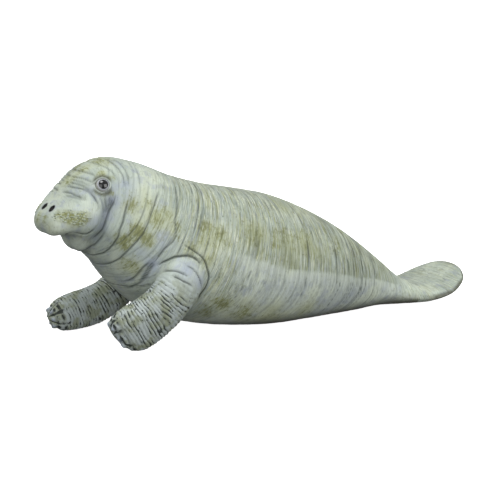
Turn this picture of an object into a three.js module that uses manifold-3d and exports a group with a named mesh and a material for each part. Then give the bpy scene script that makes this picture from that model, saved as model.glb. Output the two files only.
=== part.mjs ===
// A hand-painted moulded toy manatee, lying on its belly and propped on both flippers.
// Millimetres, +Z up. The head looks along -Y, the animal's left side is +X,
// and the origin is the middle of the underside of its box.

import * as THREE from 'three';
import { mergeVertices } from 'three/addons/utils/BufferGeometryUtils.js';
import Module from 'manifold-3d';

const wasm = await Module();
wasm.setup();

// Sizes

const SEAM = 0.3; // gap between neighbouring pieces
const BODY_SIDES = 44; // points round one ring of the body
const BODY_RINGS = [[0, 5, 22], [5, 9, 20], [9, 16, 18], [16, 21, 14]]; // station, station, rings
const FLIPPER_SIDES = 20;
const FLIPPER_RINGS = 28;
const FLIPPER_ROUNDNESS = 2.3; // 2 is an ellipse, higher is squarer
const EYEBALL_RADIUS = 2.9;
const EYE_CENTRE = [13.7, -72.2, 62.9];
const EYE_OUT = [0.84, -0.36, 0.4]; // the way the left eye looks
const LID_RADIUS = 3.35;
const LID_THICKNESS = 0.75;
const LID_TALLNESS = 0.8; // the opening is lower than it is long
const NOSTRIL_CENTRE = [3.5, -88.5, 54.3];
const NOSTRIL_RADII = [1.4, 1.3, 1.3];
const RIDGE_SPACING = 2.3; // wrinkles across a flipper
const RIDGE_HEIGHT = 0.28;
const NAIL_RADIUS = 1.7;
const SHIFT = [-0.389, -5.9, 0]; // brings the middle of the box's underside to the origin

// The body's sections from snout to tail. Each row is the top point's y and z, the bottom point's
// y and z, the half width, where between bottom and top it is widest, and how square it is above
// and below that line.

const SECTIONS = {
  snoutTip: [-91.6, 48.8, -91.6, 48.8, 0, 0.5, 2.2, 2.2],
  nose: [-90.8, 51.6, -91.0, 46.0, 7.0, 0.5, 2.4, 2.4],
  nostrils: [-88.5, 54.2, -89.6, 44.4, 11.6, 0.46, 2.3, 2.4],
  muzzle: [-85.2, 57.7, -87.0, 44.3, 14.2, 0.44, 2.2, 2.3],
  padRear: [-80.9, 63.6, -82.2, 43.6, 15.9, 0.44, 2.1, 2.3],
  eyes: [-74.4, 69.1, -79.0, 40.0, 16.8, 0.48, 2.1, 2.2],
  crown: [-65.4, 72.0, -75.6, 36.8, 18.0, 0.5, 2.1, 2.1],
  nape: [-53.0, 69.6, -70.6, 31.8, 21.0, 0.48, 2.1, 2.1],
  collar: [-38.0, 63.6, -63.6, 22.8, 25.4, 0.47, 2.1, 2.1],
  shoulder: [-23.0, 59.2, -48.0, 9.8, 29.0, 0.45, 2.1, 2.1],
  chest: [-8.0, 56.2, -28.0, 3.2, 30.8, 0.46, 2.1, 2.1],
  belly: [8.0, 52.4, 0, -0.4, 30.8, 0.46, 2.1, 2.15],
  loin: [24.0, 45.7, 21.0, -0.4, 28.5, 0.46, 2.1, 2.15],
  rump: [38.0, 38.0, 36.0, -0.3, 23.5, 0.45, 2.1, 2.1],
  stock: [50.0, 29.9, 48.5, 0.1, 18.2, 0.42, 2.1, 2.2],
  peduncle: [61.0, 21.6, 60.0, 0.5, 14.6, 0.38, 2.0, 2.0],
  paddleRoot: [71.8, 12.8, 71.3, 0.3, 14.6, 0.34, 1.9, 2.0],
  paddleMiddle: [80.8, 8.8, 80.5, 1.0, 18.6, 0.4, 2.0, 2.0],
  paddleWide: [90.0, 9.3, 90.0, 3.5, 20.0, 0.5, 2.0, 2.0],
  paddleEnd: [98.2, 12.8, 98.2, 8.0, 16.2, 0.5, 2.0, 2.0],
  paddleRim: [102.2, 15.0, 102.2, 11.4, 9.0, 0.5, 2.0, 2.0],
  tailTip: [103.4, 13.8, 103.4, 13.8, 0, 0.5, 2.0, 2.0],
};

// The flippers' sections from root to tip: the leading edge's x, y and z, the trailing edge's
// x, y and z, and half the thickness.

const FLIPPER_LEFT = {
  root: [15, -41, 40, 15, -29, 27, 7.0],
  shoulder: [22.8, -49.3, 34.6, 23.6, -35.5, 24.5, 7.4],
  elbow: [26.4, -54.0, 29.0, 26.4, -41.2, 18.2, 7.4],
  forearm: [26.4, -58.6, 24.0, 25.2, -46.6, 11.2, 6.8],
  wrist: [25.0, -62.8, 20.6, 23.2, -52.0, 5.4, 6.0],
  palm: [23.4, -67.4, 18.0, 21.2, -57.2, 1.2, 5.3],
  fingers: [21.6, -71.7, 15.0, 19.6, -61.8, -0.4, 4.2],
  nails: [20.4, -73.4, 12.2, 19.0, -66.0, 1.2, 2.7],
  tip: [19.7, -71.4, 6.8, 19.7, -71.4, 6.8, 0],
};
const FLIPPER_RIGHT = {
  root: [-14, -39, 33, -14, -29, 22, 7.0],
  shoulder: [-22.5, -45.4, 28.0, -24.6, -35.5, 17.6, 7.6],
  elbow: [-25.4, -50.4, 22.2, -26.2, -41.2, 10.8, 7.4],
  forearm: [-26.0, -56.0, 18.0, -25.4, -47.8, 5.2, 6.8],
  wrist: [-25.8, -62.8, 15.8, -24.2, -57.2, 1.2, 6.0],
  palm: [-25.0, -71.2, 14.2, -23.6, -66.2, -0.2, 5.3],
  fingers: [-24.2, -76.8, 12.2, -23.2, -72.6, -0.5, 4.2],
  nails: [-23.8, -79.2, 9.8, -23.4, -77.0, 1.4, 2.7],
  tip: [-23.6, -80.0, 5.8, -23.6, -80.0, 5.8, 0],
};

// Soft swellings on both sides: centre x, y, z, radius, height.

const SWELLINGS = {
  lipPad: [15.4, -80.0, 50.0, 6.0, 1.8],
  lipFront: [7.0, -91.0, 48.4, 5.0, 0.9],
  chin: [3.5, -77.6, 39.8, 5.2, 2.0],
  cheek: [17.8, -69.6, 46.0, 4.5, 1.0],
  brow: [12.6, -71.8, 67.4, 3.6, 0.7],
  shoulderBulge: [27.0, -40.5, 33.5, 7.0, 1.3],
};

// Creases on both sides: the points each one runs through, its depth and its half width.

const CREASES = {
  behindLip: { depth: 1.7, width: 1.6, path: [[17.5, -70.6, 58.0], [17.6, -73.0, 53.4],
    [17.0, -73.4, 48.6], [15.0, -74.8, 44.2], [12.4, -75.8, 41.0], [8.4, -76.0, 38.4],
    [0, -74.6, 35.6]] },
  mouth: { depth: 0.8, width: 1.0, path: [[0, -83.0, 43.6], [7.5, -85.0, 44.4],
    [11.0, -85.6, 45.2], [12.6, -84.6, 45.6], [13.5, -82.2, 45.0], [14.4, -79.8, 45.0],
    [16.2, -77.9, 46.5], [17.1, -76.8, 48.0]] },
  throat: { depth: 0.9, width: 1.4, path: [[18.9, -64.2, 57.3], [19.6, -65.8, 53.0],
    [19.6, -66.8, 47.9], [18.5, -67.9, 43.2], [15.5, -69.8, 38.8], [8.5, -73.0, 35.8],
    [0, -74.6, 34.8]] },
  neck: { depth: 0.9, width: 1.5, path: [[18.1, -50.9, 59.9], [21.3, -54.6, 54.7],
    [22.6, -57.8, 48.7], [22.5, -60.3, 43.1], [18.8, -65.0, 37.1], [11.2, -68.9, 32.5],
    [0, -70.6, 30.8]] },
  collar: { depth: 0.8, width: 1.5, path: [[13.8, -41.6, 61.2], [20.5, -44.0, 55.7],
    [24.5, -47.1, 48.8], [25.5, -51.6, 42.3], [24.1, -55.5, 34.2], [19.4, -58.4, 27.2]] },
};

// Paths through sections

const slope = (a, b, c, ka, kb, kc) =>
  (((b - a) / (kb - ka)) * (kc - kb) + ((c - b) / (kc - kb)) * (kb - ka)) / (kc - ka);

// A smooth curve through rows of numbers, with a made-up row before the first and after the last.
function smoothRows(rows, before, after, weights) {
  const all = [before, ...rows, after];
  const knots = [0];
  for (let i = 1; i < all.length; i++) {
    const length = Math.sqrt(weights.reduce((t, w, j) => t + w * (all[i][j] - all[i - 1][j]) ** 2, 0));
    knots.push(knots[i - 1] + Math.sqrt(length));
  }
  return (u) => {
    const i = Math.min(Math.floor(u), rows.length - 2) + 1;
    const t = u - (i - 1);
    const [p, a, b, q] = all.slice(i - 1, i + 3);
    const [kp, ka, kb, kq] = knots.slice(i - 1, i + 3);
    return a.map((start, j) => {
      const m0 = slope(p[j], start, b[j], kp, ka, kb) * (kb - ka);
      const m1 = slope(start, b[j], q[j], ka, kb, kq) * (kb - ka);
      return (2 * t ** 3 - 3 * t ** 2 + 1) * start + (t ** 3 - 2 * t ** 2 + t) * m0
        + (3 * t ** 2 - 2 * t ** 3) * b[j] + (t ** 3 - t ** 2) * m1;
    });
  };
}

const power = (value, n) => Math.sign(value) * Math.abs(value) ** (2 / n);

// One ring of the body as a list of points.
function bodyRing(section, sides) {
  const [yTop, zTop, yBottom, zBottom, halfWidth, widest, above, below] = section;
  return Array.from({ length: sides }, (_, j) => {
    const angle = (2 * Math.PI * j) / sides;
    const upper = Math.sin(angle) >= 0;
    const n = upper ? above : below;
    const lift = power(Math.sin(angle), n);
    const f = widest + (upper ? 1 - widest : widest) * lift;
    return new THREE.Vector3(halfWidth * power(Math.cos(angle), n),
      yBottom + (yTop - yBottom) * f, zBottom + (zTop - zBottom) * f);
  });
}

// A flipper's rings. The half thickness is taken square to the edges and to the way it runs.
function flipperRings(sections, grow) {
  const rows = Object.values(sections);
  const before = rows[0].map((v, j) => (j < 6 ? 2 * v - rows[1][j] : v));
  const last = rows[rows.length - 2];
  const after = [...last.slice(3, 6), ...last.slice(0, 3), -last[6]];
  const at = smoothRows(rows, before, after, [1, 1, 1, 1, 1, 1, 1]);
  const steps = Array.from({ length: FLIPPER_RINGS }, (_, i) =>
    at(((rows.length - 1) * i) / (FLIPPER_RINGS - 1)));
  const middle = (r) => new THREE.Vector3((r[0] + r[3]) / 2, (r[1] + r[4]) / 2, (r[2] + r[5]) / 2);
  const normal = new THREE.Vector3();
  let along = 0;
  return steps.map((row, i) => {
    const centre = middle(row);
    const run = middle(steps[Math.min(i + 1, steps.length - 1)]).sub(middle(steps[Math.max(i - 1, 0)]));
    if (i > 0) along += centre.distanceTo(middle(steps[i - 1]));
    const chord = new THREE.Vector3(row[0] - row[3], row[1] - row[4], row[2] - row[5]).multiplyScalar(0.5);
    if (i < steps.length - 1) normal.crossVectors(run, chord).normalize();
    const wave = Math.cos((2 * Math.PI * along) / RIDGE_SPACING);
    const ridge = grow > 0 ? 0 : RIDGE_HEIGHT * wave * THREE.MathUtils.smoothstep(i, 5, 10);
    const fade = i < steps.length - 1 ? 1 : 0;
    return Array.from({ length: FLIPPER_SIDES }, (_, j) => {
      const angle = (2 * Math.PI * j) / FLIPPER_SIDES;
      const reach = 1 + (fade * (grow + ridge)) / Math.max(chord.length(), 1);
      const swell = row[6] + fade * (grow + ridge);
      return centre.clone()
        .addScaledVector(chord, power(Math.cos(angle), FLIPPER_ROUNDNESS) * reach)
        .addScaledVector(normal, power(Math.sin(angle), FLIPPER_ROUNDNESS) * swell);
    });
  });
}

// Solids

function solidFrom(vertProperties, triVerts) {
  const solid = new wasm.Manifold(new wasm.Mesh({ numProp: 3, vertProperties, triVerts }));
  return solid;
}

function solidOf(geometry) {
  const plain = geometry.clone();
  plain.deleteAttribute('normal');
  plain.deleteAttribute('uv');
  const merged = mergeVertices(plain, 1e-4);
  return solidFrom(new Float32Array(merged.attributes.position.array), new Uint32Array(merged.index.array));
}

// A closed skin over rings. The first and last rings close on their own middles.
function solidOfRings(rings) {
  const sides = rings[0].length;
  const inner = rings.slice(1, -1);
  const centre = (ring) => ring.reduce((sum, p) => sum.add(p), new THREE.Vector3()).divideScalar(sides);
  const points = [centre(rings[0]), ...inner.flat(), centre(rings[rings.length - 1])];
  const last = points.length - 1;
  const id = (i, j) => 1 + i * sides + (j % sides);
  let faces = [];
  for (let j = 0; j < sides; j++) {
    faces.push([0, id(0, j + 1), id(0, j)], [last, id(inner.length - 1, j), id(inner.length - 1, j + 1)]);
    for (let i = 0; i < inner.length - 1; i++) {
      faces.push([id(i, j), id(i, j + 1), id(i + 1, j + 1)], [id(i, j), id(i + 1, j + 1), id(i + 1, j)]);
    }
  }
  const [a, b, c] = [new THREE.Vector3(), new THREE.Vector3(), new THREE.Vector3()];
  const volume = faces.reduce((sum, f) => sum
    + a.copy(points[f[0]]).dot(b.copy(points[f[1]]).cross(c.copy(points[f[2]]))), 0);
  if (volume < 0) faces = faces.map((f) => [f[0], f[2], f[1]]);
  return solidFrom(new Float32Array(points.flatMap((p) => [p.x, p.y, p.z])), new Uint32Array(faces.flat()));
}

// Surface detail

function distanceToPath(point, path) {
  let best = Infinity;
  const segment = new THREE.Line3();
  const near = new THREE.Vector3();
  for (let i = 0; i < path.length - 1; i++) {
    segment.set(new THREE.Vector3(...path[i]), new THREE.Vector3(...path[i + 1]));
    segment.closestPointToPoint(point, true, near);
    best = Math.min(best, near.distanceTo(point));
  }
  return best;
}

function relief(point) {
  const mirrored = new THREE.Vector3(Math.abs(point.x), point.y, point.z);
  let height = 0;
  for (const [x, y, z, radius, amount] of Object.values(SWELLINGS)) {
    const d = mirrored.distanceTo(new THREE.Vector3(x, y, z)) / radius;
    height += amount * Math.exp(-d * d);
  }
  for (const { depth, width, path } of Object.values(CREASES)) {
    const d = distanceToPath(mirrored, path) / width;
    height -= depth * Math.exp(-d * d);
  }
  return height;
}

function bodyRings() {
  const rows = Object.values(SECTIONS);
  const flip = ([yt, zt, yb, zb, w, m, a, b]) => [yb, zb, yt, zt, -w, m, a, b];
  const at = smoothRows(rows, flip(rows[1]), flip(rows[rows.length - 2]), [1, 1, 1, 1, 2, 0, 0, 0]);
  const steps = BODY_RINGS.flatMap(([from, to, count]) =>
    Array.from({ length: count }, (_, i) => from + ((to - from) * i) / count));
  const rings = [...steps, rows.length - 1].map((u) => bodyRing(at(u), BODY_SIDES));
  const shaped = rings.map((ring, i) => ring.map((p, j) => {
    if (i === 0 || i === rings.length - 1) return p.clone();
    const along = rings[i + 1][j].clone().sub(rings[i - 1][j]);
    const round = ring[(j + 1) % BODY_SIDES].clone().sub(ring[(j + BODY_SIDES - 1) % BODY_SIDES]);
    const out = round.cross(along).normalize();
    return p.clone().addScaledVector(out, relief(p));
  }));
  for (const ring of shaped) for (const p of ring) p.z = Math.max(p.z, 0);
  return shaped;
}

// Pieces

const SIDES = { left: 1, right: -1 };
const mirror = ([x, y, z], side) => new THREE.Vector3(x * side, y, z);

function ball(centre, radii, width = 20, height = 12) {
  const geometry = new THREE.SphereGeometry(1, width, height);
  geometry.scale(...radii);
  geometry.translate(...centre.toArray());
  return solidOf(geometry);
}

// The raised lid round an eye: a ring, flattened, turned to face the way the eye looks.
function lid(side) {
  const geometry = new THREE.TorusGeometry(LID_RADIUS, LID_THICKNESS, 6, 24);
  geometry.scale(1, LID_TALLNESS, 1);
  const look = mirror(EYE_OUT, side).normalize();
  const sideways = new THREE.Vector3(0, 0, 1).cross(look).normalize();
  const frame = new THREE.Matrix4().makeBasis(sideways, look.clone().cross(sideways), look);
  const reach = EYEBALL_RADIUS * 0.42;
  frame.setPosition(mirror(EYE_CENTRE, side).addScaledVector(look, reach));
  geometry.applyMatrix4(frame);
  return solidOf(geometry);
}

// A thin slab across the body, leaning so that its top is further back than its bottom.
function seam(yTop, zTop, yBottom, zBottom) {
  const geometry = new THREE.BoxGeometry(120, SEAM, 200);
  geometry.rotateX(Math.atan2(-(yTop - yBottom), zTop - zBottom));
  geometry.translate(0, (yTop + yBottom) / 2, (zTop + zBottom) / 2);
  return solidOf(geometry);
}

// Everything on one side of a seam, as one closed piece: the one reaching furthest forward or back.
function pieces(solid) {
  return solid.decompose().filter((part) => part.volume() > 50)
    .sort((a, b) => a.boundingBox().min[1] - b.boundingBox().min[1]);
}

const lefts = solidOfRings(flipperRings(FLIPPER_LEFT, 0));
const rights = solidOfRings(flipperRings(FLIPPER_RIGHT, 0));
const floorBox = new THREE.BoxGeometry(300, 400, 20);
floorBox.translate(0, 0, -10);
const floor = solidOf(floorBox);

// Knuckles and nails along a flipper's tip.
function withNails(flipper, sections) {
  const { fingers, nails, tip } = sections;
  let whole = flipper;
  for (let i = 0; i < 3; i++) {
    const t = 0.14 + 0.3 * i;
    const edge = new THREE.Vector3(nails[0] + (nails[3] - nails[0]) * t,
      nails[1] + (nails[4] - nails[1]) * t, nails[2] + (nails[5] - nails[2]) * t);
    const inward = new THREE.Vector3((fingers[0] + fingers[3]) / 2, (fingers[1] + fingers[4]) / 2,
      (fingers[2] + fingers[5]) / 2).sub(new THREE.Vector3(tip[0], tip[1], tip[2])).normalize();
    edge.addScaledVector(inward, 0.6);
    edge.x += Math.sign(edge.x) * 1.2;
    whole = whole.add(ball(edge, [NAIL_RADIUS, NAIL_RADIUS, NAIL_RADIUS], 10, 6));
  }
  return whole.subtract(floor);
}

let body = solidOfRings(bodyRings());
body = body.subtract(solidOfRings(flipperRings(FLIPPER_LEFT, SEAM)));
body = body.subtract(solidOfRings(flipperRings(FLIPPER_RIGHT, SEAM)));

for (const side of Object.values(SIDES)) {
  const centre = mirror(EYE_CENTRE, side);
  const socket = EYEBALL_RADIUS + SEAM;
  body = body.add(lid(side)).subtract(ball(centre, [socket, socket, socket], 20, 12));
  body = body.subtract(ball(mirror(NOSTRIL_CENTRE, side), NOSTRIL_RADII, 12, 8));
}

const cuts = [seam(-59.5, 71.5, -74.0, 34.5), seam(-37.0, 63.4, -62.0, 21.8),
  seam(38.0, 38.0, 37.0, 0), seam(66.0, 17.0, 66.0, 0)];
const [head, neck, torso, tailStock, tailPaddle] = pieces(cuts.reduce((s, cut) => s.subtract(cut), body));

// The scene

const SKIN = { color: 0xc4c4b8, roughness: 0.6, metalness: 0 };
const EYE_BLACK = { color: 0x0c0c0e, roughness: 0.12, metalness: 0 };

function meshOf(name, solid, look) {
  const { vertProperties, triVerts } = solid.getMesh();
  const geometry = new THREE.BufferGeometry();
  geometry.setAttribute('position', new THREE.BufferAttribute(new Float32Array(vertProperties), 3));
  geometry.setIndex(new THREE.BufferAttribute(new Uint32Array(triVerts), 1));
  geometry.computeVertexNormals();
  const mesh = new THREE.Mesh(geometry, new THREE.MeshStandardMaterial(look));
  mesh.name = name;
  return mesh;
}

const manatee = new THREE.Group();
manatee.name = 'manatee';
manatee.position.set(...SHIFT);
manatee.add(
  meshOf('head', head, SKIN),
  meshOf('neck', neck, SKIN),
  meshOf('torso', torso, SKIN),
  meshOf('tail_stock', tailStock, SKIN),
  meshOf('tail_paddle', tailPaddle, SKIN),
  meshOf('flipper_left', withNails(lefts, FLIPPER_LEFT), SKIN),
  meshOf('flipper_right', withNails(rights, FLIPPER_RIGHT), SKIN),
);
for (const [name, side] of Object.entries(SIDES)) {
  const radii = [EYEBALL_RADIUS, EYEBALL_RADIUS, EYEBALL_RADIUS];
  manatee.add(meshOf(`eye_${name}`, ball(mirror(EYE_CENTRE, side), radii, 16, 12), EYE_BLACK));
}

export default manatee;
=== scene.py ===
"""The look of a hand-painted moulded toy manatee: one painted skin over the cut pieces, two glossy
eyes, a pale stage and the photograph's camera. Shapes are worked out in millimetres and made in metres."""

import math

import bmesh
import bpy
import numpy as np
from mathutils import Matrix, Vector, kdtree


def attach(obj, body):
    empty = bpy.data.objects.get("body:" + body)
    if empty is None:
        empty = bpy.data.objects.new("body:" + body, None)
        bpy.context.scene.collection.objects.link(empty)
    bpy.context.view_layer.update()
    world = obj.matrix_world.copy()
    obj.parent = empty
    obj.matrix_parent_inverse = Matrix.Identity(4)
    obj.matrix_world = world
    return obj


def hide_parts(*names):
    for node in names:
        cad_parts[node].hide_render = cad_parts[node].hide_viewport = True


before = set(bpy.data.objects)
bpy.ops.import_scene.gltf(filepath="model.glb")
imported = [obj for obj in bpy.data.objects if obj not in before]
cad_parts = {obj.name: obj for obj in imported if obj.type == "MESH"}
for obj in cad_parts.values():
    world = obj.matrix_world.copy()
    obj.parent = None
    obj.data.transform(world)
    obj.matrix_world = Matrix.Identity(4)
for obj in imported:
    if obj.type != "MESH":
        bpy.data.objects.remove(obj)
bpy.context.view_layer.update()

MM = 0.001
SHIFT = np.array([-0.389, -5.9, 0.0])
RANDOM = np.random.default_rng(7)

# Camera, in the degrees and millimetres of the photograph's view

VIEW_AZIMUTH, VIEW_ELEVATION = 60.0, 10.0
VIEW_DISTANCE = 600.0
VIEW_TARGET = Vector((-3.06, -9.19, 33.82))
FOCAL_PIXELS, FRAME_PIXELS = 1462.2, 480.0
SENSOR_WIDTH = 36.0

# Stage and lights, in metres and watts: place, target, size, power

FLOOR_HALF, FLOOR_GLOW = 40.0, 0.97
SKY_ABOVE, SKY_BELOW = 0.44, 0.10
LIGHTS = {
    "key": ((0.15, -0.35, 1.1), (0, 0, 0.03), 0.6, 6.5),
    "fill": ((0.9, 0.35, 0.2), (0, 0, 0.03), 0.8, 6.0),
    "low": ((0.5, -0.8, 0.1), (0, -0.05, 0.03), 0.9, 3.5),
}

# Fineness of the skin

BODY_RINGS, BODY_SIDES = 420, 144
FLIPPER_RINGS, FLIPPER_SIDES = 180, 64

EYE_CENTRE = np.array([13.7, -72.2, 62.9])
EYE_OUT = np.array([0.84, -0.36, 0.4]) / np.linalg.norm([0.84, -0.36, 0.4])
EYEBALL_RADIUS = 2.9
SOCKET_GAP = 0.15
LID_RADIUS, LID_THICKNESS, LID_TALLNESS = 3.0, 0.6, 0.8
FRONT_CORNER = -3.6  # from the eye's middle to its front corner
GAZE_BACK = 0.15  # how far back the eye looks
UNDERSIDE_SHADE_HEIGHT, UNDERSIDE_SHADE_END = 7.5, 75.0  # how high up and how far back the painted shade under the body goes
CREASE_STEP = 0.6
FIELD_NEIGHBOURS = 4
JOIN_REACH, JOIN_ROUNDS = 1.5, 20
FINE_REACH, FINE_EDGE = 2.2, 0.45
BUMP_SPACING, BUMP_RADIUS, BUMP_DENSITY, BUMP_SEED = 0.85, 0.42, 3.0, 5
NOSTRIL_CENTRE = np.array([3.5, -88.5, 54.3])
NOSTRIL_OUT = np.array([0.3, -0.6, 0.75]) / np.linalg.norm([0.3, -0.6, 0.75])
NOSTRIL_LONG = np.array([0.87, -0.155, -0.474])
NOSTRIL_RADII = (1.4, 1.35, 1.3)  # along the slot, across it, into the snout

# The body's sections from snout to tail: the top point's y and z, the bottom point's y and z, the
# half width, where between bottom and top it is widest, and how square it is above and below that.

SECTIONS = {
    "snout_tip": (-91.6, 48.8, -91.6, 48.8, 0, 0.5, 2.2, 2.2),
    "nose": (-90.8, 51.6, -91, 46, 7, 0.5, 2.4, 2.4),
    "nostrils": (-88.5, 54.2, -89.6, 44.4, 11.6, 0.46, 2.3, 2.4),
    "muzzle": (-85.2, 57.7, -87, 44.3, 14.2, 0.44, 2.2, 2.3),
    "pad_rear": (-80.9, 63.6, -82.2, 43.6, 15.9, 0.44, 2.1, 2.3),
    "eyes": (-74.4, 69.1, -79, 40, 16.8, 0.48, 2.1, 2.2),
    "crown": (-65.4, 72, -75.6, 36.8, 18, 0.5, 2.1, 2.1),
    "nape": (-53, 69.6, -70.6, 31.8, 21, 0.48, 2.1, 2.1),
    "collar": (-38, 63.6, -63.6, 22.8, 25.4, 0.47, 2.1, 2.1),
    "shoulder": (-23, 59.2, -48, 9.8, 29, 0.45, 2.1, 2.1),
    "chest": (-8, 56.2, -28, 3.2, 30.8, 0.46, 2.1, 2.1),
    "belly": (8, 52.4, 0, -0.4, 30.8, 0.46, 2.1, 2.15),
    "loin": (24, 45.7, 21, -0.4, 28.5, 0.46, 2.1, 2.15),
    "rump": (38, 38, 36, -0.3, 23.5, 0.45, 2.1, 2.1),
    "stock": (50, 29.9, 48.5, 0.1, 18.2, 0.42, 2.1, 2.2),
    "peduncle": (61, 21.6, 60, 0.5, 14.6, 0.38, 2, 2),
    "paddle_root": (71.8, 12.8, 71.3, 0.3, 14.6, 0.34, 1.9, 2),
    "paddle_middle": (80.8, 8.8, 80.5, 1, 18.6, 0.4, 2, 2),
    "paddle_wide": (90, 9.3, 90, 3.5, 20, 0.5, 2, 2),
    "paddle_end": (98.2, 12.8, 98.2, 8, 16.2, 0.5, 2, 2),
    "paddle_rim": (102.2, 15, 102.2, 11.4, 9, 0.5, 2, 2),
    "tail_tip": (103.4, 13.8, 103.4, 13.8, 0, 0.5, 2, 2),
}

# The flippers' sections from root to tip: the leading edge's x, y and z, the trailing edge's
# x, y and z, and half the thickness.

FLIPPER_LEFT = {
    "root": (15, -41, 40, 15, -29, 27, 7),
    "shoulder": (22.8, -49.3, 34.6, 23.6, -35.5, 24.5, 7.4),
    "elbow": (26.4, -54, 29, 26.4, -41.2, 18.2, 7.4),
    "forearm": (26.4, -58.6, 24, 25.2, -46.6, 11.2, 6.8),
    "wrist": (25, -62.8, 20.6, 23.2, -52, 5.4, 6),
    "palm": (23.4, -67.4, 18, 21.2, -57.2, 1.2, 5.3),
    "fingers": (21.6, -71.7, 15, 19.6, -61.8, -0.4, 4.2),
    "nails": (20.4, -73.4, 12.2, 19, -66, 1.2, 2.7),
    "tip": (19.7, -71.4, 6.8, 19.7, -71.4, 6.8, 0),
}
FLIPPER_RIGHT = {
    "root": (-14, -39, 33, -14, -29, 22, 7),
    "shoulder": (-22.5, -45.4, 28, -24.6, -35.5, 17.6, 7.6),
    "elbow": (-25.4, -50.4, 22.2, -26.2, -41.2, 10.8, 7.4),
    "forearm": (-26, -56, 18, -25.4, -47.8, 5.2, 6.8),
    "wrist": (-25.8, -62.8, 15.8, -24.2, -57.2, 1.2, 6),
    "palm": (-25, -71.2, 14.2, -23.6, -66.2, -0.2, 5.3),
    "fingers": (-24.2, -76.8, 12.2, -23.2, -72.6, -0.5, 4.2),
    "nails": (-23.8, -79.2, 9.8, -23.4, -77, 1.4, 2.7),
    "tip": (-23.6, -80, 5.8, -23.6, -80, 5.8, 0),
}

# Soft swellings on both sides: centre x, y, z, radius, height.

SWELLINGS = {
    "lip_pad": (15.4, -80, 50, 6, 1.8),
    "lip_front": (7, -91, 48.4, 5, 0.9),
    "chin": (3.5, -77.6, 39.8, 5.2, 2),
    "cheek": (17.8, -69.6, 46, 4.5, 1),
    "brow": (12.6, -71.8, 67.4, 3.6, 0.7),
    "shoulder_bulge": (27, -40.5, 33.5, 7, 1.3),
}

# Creases on both sides: depth, half width, and the points each one runs through.

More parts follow.
